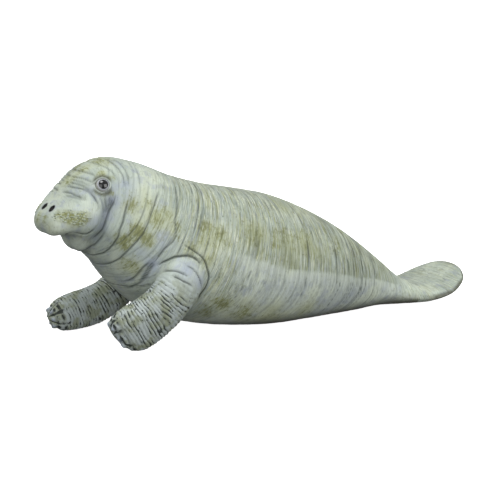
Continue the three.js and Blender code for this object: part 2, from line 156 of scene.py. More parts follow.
CREASES = {
    "lip_valley": (1.3, 1.9, [(15.8, -70, 58.1), (15.9, -71.2, 55), (16.3, -72.7, 51.6),
        (16.2, -73.6, 48.6), (14.8, -74.3, 45.6), (12.6, -75.7, 43), (10.6, -76.4, 40.9),
        (8, -75.6, 38), (0, -73.6, 35)]),
    "lip_edge": (0.6, 0.42, [(17.3, -68.5, 58.9), (17.1, -69.6, 56.3), (17.2, -71.2, 53.8),
        (16.6, -72, 51.4), (16, -72.6, 49), (15.3, -73.2, 47), (13.7, -74.2, 45.1),
        (11.4, -75.6, 42.8)]),
    "lip_fan_1": (0.3, 0.35, [(16.1, -74.2, 59.3), (16.7, -73.9, 57.5), (16.6, -73.5, 55.2),
        (15.9, -73, 52.9)]),
    "lip_fan_2": (0.35, 0.35, [(16.5, -72.9, 59.5), (16.7, -72.5, 57.3), (15.9, -71.9, 55),
        (15.8, -72.4, 52.9)]),
    "lip_fan_3": (0.35, 0.35, [(16.7, -71, 59.6), (16.2, -70.5, 57), (16.2, -71.3, 54.8),
        (16.1, -72.1, 52.9)]),
    "lip_fan_4": (0.35, 0.35, [(17, -69.7, 59.1), (16.6, -70, 56.7), (16.8, -71, 54.6),
        (16.5, -71.8, 52.5)]),
    "mouth": (0.6, 0.5, [(0, -83, 43.6), (7.5, -85, 44.4), (11, -85.6, 45.2), (12.6, -84.6, 45.6),
        (13.5, -82.2, 45), (14.4, -79.8, 45), (16.2, -77.9, 46.5), (17.1, -76.8, 48)]),
    "muzzle_1": (0.4, 0.35, [(2, -81, 63.8), (6.7, -80.1, 63.6), (10.2, -79.1, 63.2),
        (12.8, -77.9, 62.2), (14.5, -76.8, 61.3)]),
    "muzzle_2": (0.5, 0.35, [(2.7, -81.9, 62.3), (7.4, -81.1, 62.3), (11.2, -79.5, 62.1),
        (13.4, -78.2, 61.4), (14.6, -77.4, 60.7), (15.7, -76.7, 59.5), (16.7, -75.6, 57.1),
        (17.2, -75.4, 55.5)]),
    "muzzle_3": (0.45, 0.35, [(2, -83.5, 60.1), (7.7, -82.7, 60.3), (10.7, -82.2, 59.8),
        (13.3, -81, 59.3), (14.5, -79.7, 59.2)]),
    "muzzle_4": (0.3, 0.3, [(12, -83.3, 57.8), (12.8, -83, 57.7), (13.9, -82.3, 57.5)]),
    "muzzle_5": (0.4, 0.35, [(0, -79, 65.6), (5, -78.4, 65.6), (9.4, -77, 65.2),
        (12, -75.8, 64.4)]),
    "muzzle_6": (0.3, 0.3, [(1.5, -80, 64.8), (6, -79.4, 64.6), (10.4, -78, 64),
        (13.2, -76.6, 62.6)]),
    "muzzle_7": (0.3, 0.3, [(6, -83.6, 59), (10.2, -82.6, 58.8), (13.2, -81.2, 58.4),
        (15.2, -79.2, 58.2)]),
    "brow_1": (0.4, 0.35, [(0, -76.6, 67.6), (4.4, -76, 67.6), (8, -75, 67.2), (10.6, -73.8, 66.4)]),
    "brow_2": (0.35, 0.3, [(0, -71.4, 70.4), (5, -70.6, 70.4), (9, -69, 69.6), (12, -67.4, 68.2),
        (14.6, -66.4, 65.6)]),
    "brow_3": (0.4, 0.3, [(2, -66.6, 71.6), (7.4, -65.2, 71), (11.4, -64.2, 69.4), (14.4, -63.6, 66.8),
        (16.4, -64.2, 63)]),
    "brow_4": (0.35, 0.3, [(3, -63.4, 71.8), (8.4, -62, 71), (12.6, -61.4, 69), (15.4, -61.6, 66),
        (16.8, -62.6, 63.4)]),
    "throat_1": (0.45, 0.4, [(16.4, -72.8, 46), (15, -73.2, 44.1), (13, -73.7, 42.3),
        (10.1, -74.3, 40.2), (6.5, -75.3, 38.5), (0, -75.6, 37.4)]),
    "throat_2": (0.55, 0.4, [(18.9, -64.2, 57.3), (19.6, -65.8, 53), (19.8, -66.8, 49.6),
        (19.2, -67.8, 46.9), (18.6, -68.2, 44.2), (16.9, -69.1, 41.6), (14.2, -69.8, 39.1),
        (11.3, -70.9, 37.1), (8.4, -72.2, 36.2), (0, -73.4, 34.6)]),
    "neck": (0.5, 0.36, [(18.1, -50.9, 59.9), (21.3, -54.6, 54.7), (22.6, -57.8, 48.7), (21.9, -59.6, 44.8),
        (21.2, -61.7, 42.2), (19.8, -63.5, 39.8), (17.7, -65, 37.3), (14.9, -66.3, 34.9),
        (10.7, -68.2, 32.5), (0, -69.8, 31)]),
    "collar": (0.55, 0.36, [(13.8, -41.6, 61.2), (20.5, -44, 55.7), (24.5, -47.1, 48.8),
        (26.2, -47.6, 44), (26, -49, 41.6), (25.7, -50.9, 40.3), (25.1, -52.9, 38.4),
        (24.3, -54.1, 36.4), (23.2, -55.3, 34.2)]),
    "chest_1": (0.5, 0.4, [(23.4, -56, 34.2), (22.6, -57.2, 32.6), (21.3, -57.9, 30.7),
        (19.5, -58.3, 28.3), (17.7, -58.7, 26)]),
    "chest_2": (0.6, 0.45, [(23.2, -56.9, 34.2), (22.4, -58, 33.2), (21.2, -59.1, 32),
        (19.5, -59.9, 30), (17.6, -60.6, 28), (14.8, -61.5, 26.1), (11.6, -62.6, 25)]),
    "chest_3": (0.6, 0.45, [(23.3, -55.3, 34), (22.2, -56.4, 31.9), (21, -57.1, 29.7),
        (19.1, -57.8, 27), (17.4, -58.6, 25.3), (14.7, -59.6, 23.8), (10.2, -60.3, 21.8)]),
}

# Creases round the upper arms, cut after the arms and the body are joined.

JOIN_CREASES = {
    "shoulder": (0.6, 0.36, [(26.6, -44.9, 40.1), (27.1, -42.2, 38.1), (28.1, -40.2, 36.6),
        (28.7, -38.2, 34.9), (29.4, -37, 32.7), (29.6, -36.2, 30.3), (29.1, -35.4, 27.7),
        (28.6, -35.7, 25), (27.6, -36.3, 22.8), (26.6, -37.8, 20), (24.8, -38.1, 17.3)]),
    "arm_top": (0.8, 0.4, [(23.5, -54.4, 32.6), (24.5, -53, 33.7), (25.6, -50.7, 34.9),
        (27.4, -48.6, 35.9), (28.4, -46.4, 36.3), (28.8, -44.3, 36.2), (29.2, -42.4, 35.6),
        (29.4, -40.6, 34.4), (29.6, -39.2, 32.6)]),
}

# Creases on the left upper arm alone.

ARM_CREASES = {
    "arm_back": (0.6, 0.35, [(31.6, -45.3, 33.3), (32.1, -43.3, 32.3), (32.4, -41.8, 30.7),
        (32.6, -40.6, 28.6), (32.2, -39.6, 26), (31.4, -38.9, 23.4)]),
    "arm_middle": (0.6, 0.35, [(23.9, -53.4, 29.8), (27.1, -52.4, 31), (29.8, -51.2, 31.5),
        (31.5, -49.5, 31.3), (32.5, -48.1, 30.6), (33, -46.7, 29.8)]),
    "arm_low": (0.6, 0.35, [(30.9, -51.8, 29.5), (32.3, -50.3, 28.9), (33.3, -48.5, 27.7),
        (33.5, -46.7, 26.7), (33.6, -45.1, 25.5)]),
}

# Places with cool blue-grey painted shade in the hollows on both sides: x, y, z, radius, strength.

HOLLOW_SHADE_PLACES = (
    (16, -72.2, 52.4, 3.2, 0.9), (15.6, -73.6, 48.6, 3, 0.8), (17.2, -69.6, 57.6, 3, 0.9),
    (13, -75.6, 43, 2.6, 0.6), (17, -76.6, 50.5, 3, 0.6), (23, -56.2, 33.4, 3.4, 0.9),
    (20.6, -58.2, 29.6, 3.4, 0.7), (24.6, -52.4, 40.6, 4, 0.5), (31, -46, 31, 4.5, 0.8),
    (32.2, -41, 26, 4, 0.8), (22.2, -60.4, 38.4, 4, 0.4), (27, -50, 20, 4, 0.3),
    (19.4, -62.6, 58.4, 3.6, 0.5), (16.5, -63, 63, 4, 0.4),
)

# Olive dry-brushed places on the left side and their mirror: x, y, z, radius, strength.

OLIVE_PLACES = (
    (12.3, -87.1, 53.1, 2.4, 0.8), (15.8, -85, 51.6, 2.8, 1), (17.1, -82.4, 52, 2.6, 0.9),
    (9, -88.4, 53.2, 2, 0.6), (16.6, -84, 49.6, 2.2, 0.6), (-1.2, -91.2, 50.7, 3, 0.5),
    (3, -91.4, 50, 4, 0.8), (6.7, -90.8, 49, 3, 0.6), (11.6, -71.6, 66.9, 2.6, 1.1),
    (14.4, -68.4, 66, 2.2, 0.8), (16.6, -69.8, 60.2, 1.6, 1), (16.4, -73, 59.8, 1.4, 0.6),
    (4, -68, 71.4, 7, 0.8), (3, -75, 68, 5, 0.8), (2, -80, 64, 4, 0.8),
    (19.6, -63, 56, 5, 0.8), (21.8, -61.6, 45.8, 5, 1.1), (23.1, -58.6, 42.5, 4.5, 1.1),
    (19, -66, 42, 4.5, 1.1), (23, -54, 50.5, 6, 0.9), (24, -50, 52, 5, 0.9),
    (17, -62, 33, 5.5, 0.9), (26.1, -46, 46.5, 6, 0.8), (17.8, -68.6, 45, 3, 0.9),
    (21, -57, 56, 6, 0.6), (28.4, -42.6, 39, 4, 0.8), (26.6, -37, 41, 5, 0.7),
    (26.1, -35, 46, 6, 0.8), (27.1, -30, 42, 6, 0.8), (28.6, -36, 34, 4, 0.6),
    (27.6, -14.2, 42, 9, 0.7), (28.1, -2, 38.5, 10, 0.7), (25, 10, 38, 9, 0.65),
    (21.5, 26, 33, 9, 0.7), (17, 40, 27, 8, 0.6), (15, 8, 49, 9, 0.5),
    (28.1, -28.8, 13.5, 7, 1), (23.7, -33.9, 9.5, 7, 1), (26, -18, 8, 9, 0.9),
    (26, -4, 6, 9, 0.7), (24, 14, 5, 9, 0.6),
)

# The moulded bristle bumps on the lip pads: x, y, z, radius.

BRISTLE_PLACES = (
    (9.6, -88.3, 52.4, 2.2), (12.3, -87, 52.2, 2.6), (15, -85.2, 51.8, 2.9), (16.8, -82.8, 51.6, 2.7),
    (17.4, -80.4, 52.2, 2),
)

# The height of the mould line along the flank, as pairs of y and z. Above it the paint is streaked.

MOULD_LINE = (
    (-24, 35), (-12, 31), (-5, 28), (5, 25.6), (18, 23.4), (32, 19.6), (52, 14.4), (64, 10.7), (105, 8),
)


def smooth_rows(rows, before, after, weights):
    """A smooth curve through rows of numbers, as a function of a list of positions along them."""
    every = np.vstack([before, rows, after]).astype(float)
    lengths = np.sqrt((np.diff(every, axis=0) ** 2 * np.array(weights, float)).sum(1))
    knots = np.concatenate([[0], np.cumsum(np.sqrt(lengths))])

    def slope(j):
        left = (every[j] - every[j - 1]) / (knots[j] - knots[j - 1])[:, None]
        right = (every[j + 1] - every[j]) / (knots[j + 1] - knots[j])[:, None]
        share_left, share_right = (knots[j + 1] - knots[j])[:, None], (knots[j] - knots[j - 1])[:, None]
        return (left * share_left + right * share_right) / (share_left + share_right)

    def at(u):
        u = np.clip(np.asarray(u, float), 0, len(rows) - 1)
        cell = np.minimum(u.astype(int), len(rows) - 2)
        t = (u - cell)[:, None]
        i = cell + 1
        gap = (knots[i + 1] - knots[i])[:, None]
        return ((2 * t**3 - 3 * t**2 + 1) * every[i] + (t**3 - 2 * t**2 + t) * slope(i) * gap
                + (3 * t**2 - 2 * t**3) * every[i + 1] + (t**3 - t**2) * slope(i + 1) * gap)

    return at


def power(value, n):
    return np.sign(value) * np.abs(value) ** (2 / n)


def unit(v):
    return v / np.maximum(np.linalg.norm(v, axis=-1, keepdims=True), 1e-9)


def grid_normals(points):
    """Outward directions of a closed grid of rings, whose rows run from head to tail."""
    along = np.gradient(points, axis=0)
    round_ = np.roll(points, -1, 1) - np.roll(points, 1, 1)
    out = unit(np.cross(round_, along))
    centre = points.mean(1, keepdims=True)
    if ((points - centre) * out).sum() < 0:
        out = -out
    return out


def spaced(at, last, rings, density):
    """Ring positions spaced by the length run, weighted by density(y)."""
    u = np.linspace(0, last, 4000)
    rows = at(u)
    y = (rows[:, 0] + rows[:, 2]) / 2
    z = (rows[:, 1] + rows[:, 3]) / 2
    step = np.sqrt(np.diff(y) ** 2 + np.diff(z) ** 2 + 0.35 * np.diff(rows[:, 4]) ** 2)
    step = step * density((y[1:] + y[:-1]) / 2)
    run = np.concatenate([[0], np.cumsum(step)])
    return np.interp(np.linspace(0, run[-1], rings), run, u)


def tree_of(points):
    tree = kdtree.KDTree(len(points))
    for index, p in enumerate(points):
        tree.insert(p, index)
    tree.balance()
    return tree


def nearest(tree, points):
    """The nearest points of a tree for each point, and how much each of them counts."""
    found = [tree.find_n(p, FIELD_NEIGHBOURS) for p in points]
    near = np.array([[hit[1] for hit in hits] for hits in found])
    weight = 1 / (np.array([[hit[2] for hit in hits] for hits in found]) ** 2 + 0.01)
    return near, weight / weight.sum(1, keepdims=True)


def spread(places, points, sharpness=2):
    """How strongly round places, given as x, y, z, radius and strength, reach each point."""
    reached = np.zeros(len(points))
    for x, y, z, radius, *strength in places:
        d = np.linalg.norm(points - np.array([x, y, z]), axis=1) / radius
        reached = np.maximum(reached, (strength or [1])[0] * np.exp(-d ** sharpness))
    return reached


def crease_marks(points, out, creases):
    """For each crease, its depth, half width and how much of it each point has. The paths are first
    laid on the surface, because a thin crease that hangs over it would be lost."""
    flat, flat_out = points.reshape(-1, 3), out.reshape(-1, 3)
    tree = tree_of(flat)
    for depth, width, path in creases.values():
        path = np.array(path, float)
        run = np.concatenate([[0], np.cumsum(np.linalg.norm(np.diff(path, axis=0), axis=1))])
        steps = np.linspace(0, run[-1], max(int(run[-1] / CREASE_STEP), 2))
        laid = np.stack([np.interp(steps, run, path[:, k]) for k in range(3)], 1)
        near = np.array([tree.find(p)[1] for p in laid])
        laid -= ((laid - flat[near]) * flat_out[near]).sum(1, keepdims=True) * flat_out[near]
        reach = 3 * width
        inside = ((flat > laid.min(0) - reach) & (flat < laid.max(0) + reach)).all(1)
        best = np.full(len(flat), 1e9)
        best[inside] = path_distance(flat[inside], laid)
        ends = np.clip(steps[-1] / 8, 0.5, 2.5)
        fade = np.interp(steps, [0, ends, steps[-1] - ends, steps[-1]], [0.35, 1, 1, 0.35])
        strength = np.ones(len(flat))
        gap = np.linalg.norm(flat[inside][:, None] - laid[None, ::2], axis=2)
        strength[inside] = fade[::2][gap.argmin(1)]
        yield depth, width, (strength * np.exp(-(best / width) ** 2)).reshape(points.shape[:-1])


def refine(mesh, creases):
    """Splits the long edges beside thin creases, so that the creases come out smooth."""
    bm = bmesh.new()
    bm.from_mesh(mesh)
    for _ in range(2):
        bm.verts.ensure_lookup_table()
        co = np.array([v.co for v in bm.verts])
        side = to_left(co, co[:, 0])
        gap = np.min([path_distance(side, np.array(path, float)) for _, _, path in creases.values()], axis=0)
        close = gap < FINE_REACH
        split = [e for e in bm.edges if close[e.verts[0].index] and close[e.verts[1].index]
                 and e.calc_length() > FINE_EDGE]
        bmesh.ops.subdivide_edges(bm, edges=split, cuts=1)
        bmesh.ops.triangulate(bm, faces=[f for f in bm.faces if len(f.verts) > 4])
        bm.verts.index_update()
    bm.to_mesh(mesh)
    bm.free()


def to_left(vectors, x):
    """Vectors at places on the right side, where x is negative, mirrored to the left."""
    turned = vectors.copy()
    turned[..., 0] *= np.where(x < 0, -1, 1)
    return turned


def soften(mesh, picked, rounds, arrays):
    """The arrays of a mesh's points with those picked evened out over their neighbours."""
    edges = np.empty(len(mesh.edges) * 2, int)
    mesh.edges.foreach_get("vertices", edges)
    a, b = edges.reshape(-1, 2).T
    ends, others = np.concatenate([a, b]), np.concatenate([b, a])
    degree = np.bincount(ends, minlength=len(mesh.vertices))
    for _ in range(rounds):
        for values in arrays:
            mean = np.bincount(ends, values[others], len(mesh.vertices)) / degree
            values[picked] = (values[picked] + mean[picked]) / 2


def path_distance(points, path):
    best = np.full(points.shape[:-1], 1e9)
    for a, b in zip(path[:-1], path[1:]):
        ab = b - a
        t = np.clip(((points - a) @ ab) / max(ab @ ab, 1e-9), 0, 1)
        best = np.minimum(best, np.linalg.norm(points - a - t[..., None] * ab, axis=-1))
    return best


def value_noise(x, y, seed):
    """Smooth random values between 0 and 1 over a plane."""
    table = np.random.default_rng(seed).random((64, 64))
    xi, yi = np.floor(x).astype(int), np.floor(y).astype(int)
    fx, fy = x - xi, y - yi
    fx, fy = fx * fx * (3 - 2 * fx), fy * fy * (3 - 2 * fy)
    cell = lambda i, j: table[(xi + i) % 64, (yi + j) % 64]
    low = cell(0, 0) * (1 - fx) + cell(1, 0) * fx
    high = cell(0, 1) * (1 - fx) + cell(1, 1) * fx
    return low * (1 - fy) + high * fy


# Body surface

def body_grid():
    """The body's points, and its paint fields, as arrays over rings and sides."""
    rows = np.array(list(SECTIONS.values()), float)
    flip = lambda r: np.array([r[2], r[3], r[0], r[1], -r[4], *r[5:]])
    at = smooth_rows(rows, flip(rows[1]), flip(rows[-2]), (1, 1, 1, 1, 2, 0, 0, 0))
    dense = lambda y: 1 + 1.3 / (1 + np.exp((y + 52) / 6))
    u = spaced(at, len(rows) - 1, BODY_RINGS, dense)
    yt, zt, yb, zb, half, widest, above, below = (c[:, None] for c in at(u).T)
    turn = np.linspace(0, 2 * np.pi, BODY_SIDES, endpoint=False)
    angle = turn - np.pi / 2
    c, s = np.cos(angle)[None, :], np.sin(angle)[None, :]
    n = np.where(s >= 0, above, below)
    lift = power(s, n)
    f = np.where(s >= 0, widest + (1 - widest) * lift, widest * (1 + lift))
    points = np.stack([half * power(c, n), yb + (yt - yb) * f, zb + (zt - zb) * f], -1)
    out = grid_normals(points)
    side, side_out = to_left(points, points[..., 0]), to_left(out, points[..., 0])

    height = np.zeros(points.shape[:2])
    groove = np.zeros_like(height)
    for x, y, z, radius, amount in SWELLINGS.values():
        d = np.linalg.norm(side - np.array([x, y, z]), axis=-1) / radius
        height += amount * np.exp(-d * d)
    for depth, width, cut in crease_marks(side, side_out, CREASES):
        height -= depth * cut
        groove = np.maximum(groove, min(0.2 + depth * 1.4, 0.92) * cut * min(1.0, 0.8 / width))

    # Fine wrinkles: many thin rings, each over part of the way round
    middle = points.mean(1)
    run = np.concatenate([[0], np.cumsum(np.linalg.norm(np.diff(middle, axis=0), axis=1))])[:, None]
    slant = 7.0 * np.clip(0.1 - s, 0, 2) ** 2
    lean = run + slant + 1.1 * (value_noise(run / 9 + 5, angle[None, :] * 2.2 + 9, 3) - 0.5)
    place = 20.0
    while place < run[-1, 0] - 6:
        tail = place > 168
        RANDOM.uniform(-0.7, 0.4)  # not used, but it keeps the draws after it as they are
        reach = RANDOM.uniform(0.7, 2.4)
        depth = RANDOM.uniform(0.05, 0.2) * (0.5 if tail else 1.0)
        width = RANDOM.uniform(0.2, 0.34)
        both = np.abs(((angle - np.pi / 2 + np.pi) % (2 * np.pi)) - np.pi)[None, :]
        centre = RANDOM.uniform(0.1, 2.0)
        fade = np.exp(-np.abs((both - centre) / reach) ** 4)
        wobble = 0.5 * np.sin(angle[None, :] * RANDOM.uniform(2, 5) + RANDOM.uniform(0, 6))
        cut = np.exp(-((lean - place + wobble) / width) ** 2) * fade
        height -= depth * cut
        groove = np.maximum(groove, min(depth * (6.0 if RANDOM.random() < 0.3 else 2.6), 0.95) * cut)
        place += RANDOM.uniform(1.4, 3.4) if place < 42 or tail else RANDOM.uniform(0.5, 1.5)
    soft = value_noise(run / 3.1, angle[None, :] * 5 + 20, 11)
    soft = soft + value_noise(run / 1.3, angle[None, :] * 9 + 3, 12)
    height += 0.08 * (soft - 1)
    taper = np.clip(np.minimum(run / 3, (run[-1, 0] - run) / 2), 0, 1)
    points = points + out * (height * taper)[..., None]
    points[..., 2] = np.maximum(points[..., 2], 0)
    around = np.abs((angle[None, :] + np.pi / 2 + np.pi) % (2 * np.pi) - np.pi) * half * 1.3
    line = np.interp(points[..., 1], *np.array(MOULD_LINE, float).T)
    line += 0.7 * (value_noise(run / 5, 0 * angle[None, :], 17) - 0.5)
    low = 1 / (1 + np.exp(np.clip((points[..., 2] - line) / 0.35, -30, 30)))
    behind = np.clip((points[..., 1] + 27) / 8, 0, 1) * (1 - np.clip((points[..., 1] - 62) / 7, 0, 1))
    low *= behind
    streak = np.clip((points[..., 1] + 56) / 22, 0, 1) * (1 - 0.75 * low)
    past_stock = np.clip((points[..., 1] - 60) / 12, 0, 1)
    streak *= 1 - 0.5 * past_stock
    streak *= np.maximum(np.clip((points[..., 2] - 8) / 14, 0, 1), past_stock)
    over = points[..., 2] - line
    ledge = np.exp(-(np.maximum(-over - 0.4, 0) / 3.2) ** 2) * (over < 0.3) * behind
    band = np.clip(over / 0.8, 0, 1) * np.exp(-(np.maximum(over - 2, 0) / 11.0) ** 2) * behind
    fields = {
        "along": np.broadcast_to(run, height.shape),
        "around": np.broadcast_to(around, height.shape),
        "groove": np.clip(groove, 0, 1),
        "low": low,
        "ledge": ledge,
        "band": band,
        "streak": streak,
    }
    return points, fields


def flipper_grid(sections, creases, seed):
    """A flipper's points and paint fields, with its own creases across the upper arm."""
    rows = np.array(list(sections.values()), float)
    before = 2 * rows[0] - rows[1]
    before[6] = rows[0][6]
    after = np.concatenate([rows[-2][3:6], rows[-2][:3], [-rows[-2][6]]])
    at = smooth_rows(rows, before, after, (1,) * 7)
    u = np.linspace(0, len(rows) - 1, FLIPPER_RINGS)
    row = at(u)
    centre, chord = (row[:, :3] + row[:, 3:6]) / 2, (row[:, :3] - row[:, 3:6]) / 2
    normal = np.cross(np.gradient(centre, axis=0), chord)
    normal[-1] = normal[-2]
    normal = unit(normal)
    run = np.concatenate([[0], np.cumsum(np.linalg.norm(np.diff(centre, axis=0), axis=1))])[:, None]
    angle = np.linspace(0, 2 * np.pi, FLIPPER_SIDES, endpoint=False)[None, :]
    points = (centre[:, None] + chord[:, None] * power(np.cos(angle), 2.3)[..., None]
              + normal[:, None] * (power(np.sin(angle), 2.3) * row[:, 6][:, None])[..., None])
    out = grid_normals(points)

    # Wrinkles across the flipper, uneven and broken, with lumps between them
    tip = u[:, None] / (len(rows) - 1)
    hand = np.clip((tip - 0.66) / 0.14, 0, 1)
    wave = run + 1.6 * (value_noise(run / 5, angle * 1.5 + 4, seed) - 0.5)
    wave = wave + 0.5 * (value_noise(run / 1.7, angle * 4 + 4, seed + 5) - 0.5)
    rib = 0.5 + 0.5 * np.cos(2 * np.pi * wave / 1.3)
    broken = value_noise(run / 2.0, angle * 3.0, seed + 1)
    start = np.clip((run - 17) / 8, 0, 1)
    height = start * 0.34 * (rib ** 0.6 - 0.6) * (0.3 + broken) * (1 - 0.8 * hand)
    groove = start * np.clip(1.0 - 2.4 * rib, 0, 1) * (0.25 + 0.9 * broken ** 2) * (1 - 0.7 * hand)
    lumps = value_noise(run / 1.1, angle * 9, seed + 2)
    height += start * 0.2 * (lumps - 0.5)
    groove = np.maximum(groove, start * np.clip((0.2 - lumps) * 5, 0, 1) * broken)

    # The hand has finger folds along it and a row of nails round its end, with dark hollows between
    fold = np.cos(angle * 8 + 0.6 * np.sin(tip * 9)) * 0.5 + 0.5
    fold_line = np.clip((0.22 - fold) / 0.22, 0, 1)
    height -= 0.55 * hand * fold_line
    groove = np.maximum(groove, hand * fold_line * (0.35 + 0.5 * broken))
    nail_row = np.exp(-((tip - 0.895) / 0.03) ** 2)
    hollow_row = np.exp(-((tip - 0.84) / 0.024) ** 2) + 0.8 * np.exp(-((tip - 0.765) / 0.018) ** 2)
    height += 1.5 * nail_row * (fold - 0.4) - 0.7 * hollow_row * fold * (0.4 + broken)
    hollow = hollow_row * (0.2 + 1.2 * broken) * fold + nail_row * fold_line
    groove = np.maximum(groove, np.clip(hollow, 0, 1))
    for depth, _, cut in crease_marks(points, out, creases):
        height -= depth * cut
        groove = np.maximum(groove, min(depth * 1.5, 1.0) * cut)
    taper = np.clip((run[-1, 0] - run) / 1.5, 0, 1)
    points = points + out * (height * taper)[..., None]
    points[..., 2] = np.maximum(points[..., 2], 0)
    fields = {
        "limb_along": np.broadcast_to(run + seed * 20, height.shape),
        "limb_around": np.broadcast_to(np.abs(angle - np.pi) * 8.0, height.shape),
        "groove": np.clip(groove, 0, 1),
        "limb": np.broadcast_to(np.clip((run - 16) / 8, 0, 1), height.shape),
        "nail": np.clip(nail_row * (fold - 0.25) * 1.6, 0, 1),
    }
    return points, fields


def closed_grid(name, points, fields, uv_box):
    """A closed mesh over a grid of rings. Each end ring closes on its own middle."""
    rings, sides, _ = points.shape
    inner = points[1:-1].reshape(-1, 3)
    verts = np.vstack([points[0].mean(0), inner, points[-1].mean(0)])
    last = len(verts) - 1
    i, j = np.meshgrid(np.arange(rings - 3), np.arange(sides), indexing="ij")
    nxt = (j + 1) % sides
    quads = np.stack([1 + i * sides + j, 1 + i * sides + nxt, 1 + (i + 1) * sides + nxt,
                      1 + (i + 1) * sides + j], -1).reshape(-1, 4)
    k = np.arange(sides)
    head = np.stack([np.zeros(sides, int), 1 + (k + 1) % sides, 1 + k], -1)
    base = 1 + (rings - 3) * sides
    tail = np.stack([np.full(sides, last), base + k, base + (k + 1) % sides], -1)
    mesh = bpy.data.meshes.new(name)
    mesh.from_pydata(verts.tolist(), [], quads.tolist() + head.tolist() + tail.tolist())
    uv = mesh.uv_layers.new(name="OFBake")
    u0, v0, u1, v1 = uv_box
    fx = lambda column: u0 + (u1 - u0) * column / sides
    fy = lambda ring: v0 + (v1 - v0) * ring / (rings - 1)
    quad_uv = np.stack([np.stack([fx(j), fy(i + 1)], -1), np.stack([fx(j + 1), fy(i + 1)], -1),
                        np.stack([fx(j + 1), fy(i + 2)], -1), np.stack([fx(j), fy(i + 2)], -1)], -2)
    head_uv = np.stack([np.stack([fx(k + 0.5), fy(0 * k)], -1), np.stack([fx(k + 1), fy(0 * k + 1)], -1),
                        np.stack([fx(k), fy(0 * k + 1)], -1)], 1)
    tail_uv = np.stack([np.stack([fx(k + 0.5), fy(0 * k + rings - 1)], -1),
                        np.stack([fx(k), fy(0 * k + rings - 2)], -1),
                        np.stack([fx(k + 1), fy(0 * k + rings - 2)], -1)], 1)
    flat = np.concatenate([quad_uv.reshape(-1), head_uv.reshape(-1), tail_uv.reshape(-1)])
    uv.data.foreach_set("uv", flat)
    obj = bpy.data.objects.new(name, mesh)
    bpy.context.scene.collection.objects.link(obj)
    bm = bmesh.new()
    bm.from_mesh(mesh)
    if bm.calc_volume(signed=True) < 0:
        bmesh.ops.reverse_faces(bm, faces=bm.faces)
    bm.to_mesh(mesh)
    bm.free()
    return obj, verts, {key: np.concatenate([[v[0].mean()], v[1:-1].reshape(-1), [v[-1].mean()]])
                        for key, v in fields.items()}


def join_by_boolean(target, others, operation):
    group = bpy.data.collections.new("cutters")
    bpy.context.scene.collection.children.link(group)
    for other in others:
        bpy.context.scene.collection.objects.unlink(other)
        group.objects.link(other)
    step = target.modifiers.new("join", "BOOLEAN")
    step.operation = operation
    step.operand_type = "COLLECTION"
    step.collection = group
    step.solver = "MANIFOLD"
    graph = bpy.context.evaluated_depsgraph_get()
    mesh = bpy.data.meshes.new_from_object(target.evaluated_get(graph))
    target.modifiers.clear()
    old = target.data
    target.data = mesh
    bpy.data.meshes.remove(old)
    for other in others:
        bpy.data.objects.remove(other)
    bpy.data.collections.remove(group)


def eye_frame(side):
    look = EYE_OUT * np.array([side, 1, 1])
    sideways = unit(np.cross([0, 0, 1], look))
    upward = np.cross(look, sideways)
    return EYE_CENTRE * np.array([side, 1, 1]), sideways, upward, look


def lid_ring(side):
    """A raised ring round the eye, drawn to a point at its front corner."""
    centre, sideways, upward, look = eye_frame(side)
    a, b = 72, 16
    t = np.linspace(0, 2 * np.pi, a, endpoint=False)[:, None]
    s = np.linspace(0, 2 * np.pi, b, endpoint=False)[None, :]
    front = -1.0 if side > 0 else 1.0
    corner = np.exp(-((np.cos(t) * front - 1) / 0.35) ** 2)
    wide = LID_RADIUS * (1 + 0.28 * corner)
    tall = LID_RADIUS * LID_TALLNESS * (1 - 0.25 * corner)
    thick = LID_THICKNESS * (0.75 + 0.35 * np.clip(np.sin(t), 0, 1))
    x = np.cos(t) * (wide + thick * np.cos(s))
    y = np.sin(t) * (tall + thick * np.cos(s))
    z = thick * 0.8 * np.sin(s) + EYEBALL_RADIUS * 0.42 - 0.35 * corner
    points = (centre + x[..., None] * sideways + y[..., None] * upward + z[..., None] * look)
    bm = bmesh.new()
    uv_map = bm.loops.layers.uv.new("OFBake")
    rings = [[bm.verts.new(p) for p in ring] for ring in points]
    u0, v0, u1, v1 = uv_strip(0 if side > 0 else 1)
    for i in range(a):
        for j in range(b):
            steps = ((i, j), (i + 1, j), (i + 1, j + 1), (i, j + 1))
            face = bm.faces.new([rings[m % a][n % b] for m, n in steps])
            for loop, (m, n) in zip(face.loops, steps):
                loop[uv_map].uv = (u0 + (u1 - u0) * m / a, v0 + (v1 - v0) * n / b)
    bmesh.ops.recalc_face_normals(bm, faces=bm.faces)
    return object_of("lid", bm)


def uv_strip(index):
    """The area of the skin's map kept for one of the small pieces round the eyes and nostrils."""
    return (0.01 + 0.165 * index, 0.71, 0.165 + 0.165 * index, 0.77)


def object_of(name, bm):
    mesh = bpy.data.meshes.new(name)
    bm.to_mesh(mesh)
    bm.free()
    obj = bpy.data.objects.new(name, mesh)
    bpy.context.scene.collection.objects.link(obj)
    return obj


def nostril_axes(side):
    """The way a nostril's slot runs, across it, and out of the snout, as the rows of a matrix."""
    flip = np.array([side, 1, 1])
    out = NOSTRIL_OUT * flip
    long = unit(NOSTRIL_LONG * flip - (NOSTRIL_LONG * flip @ out) * out)
    return np.array([long, np.cross(out, long) * side, out])


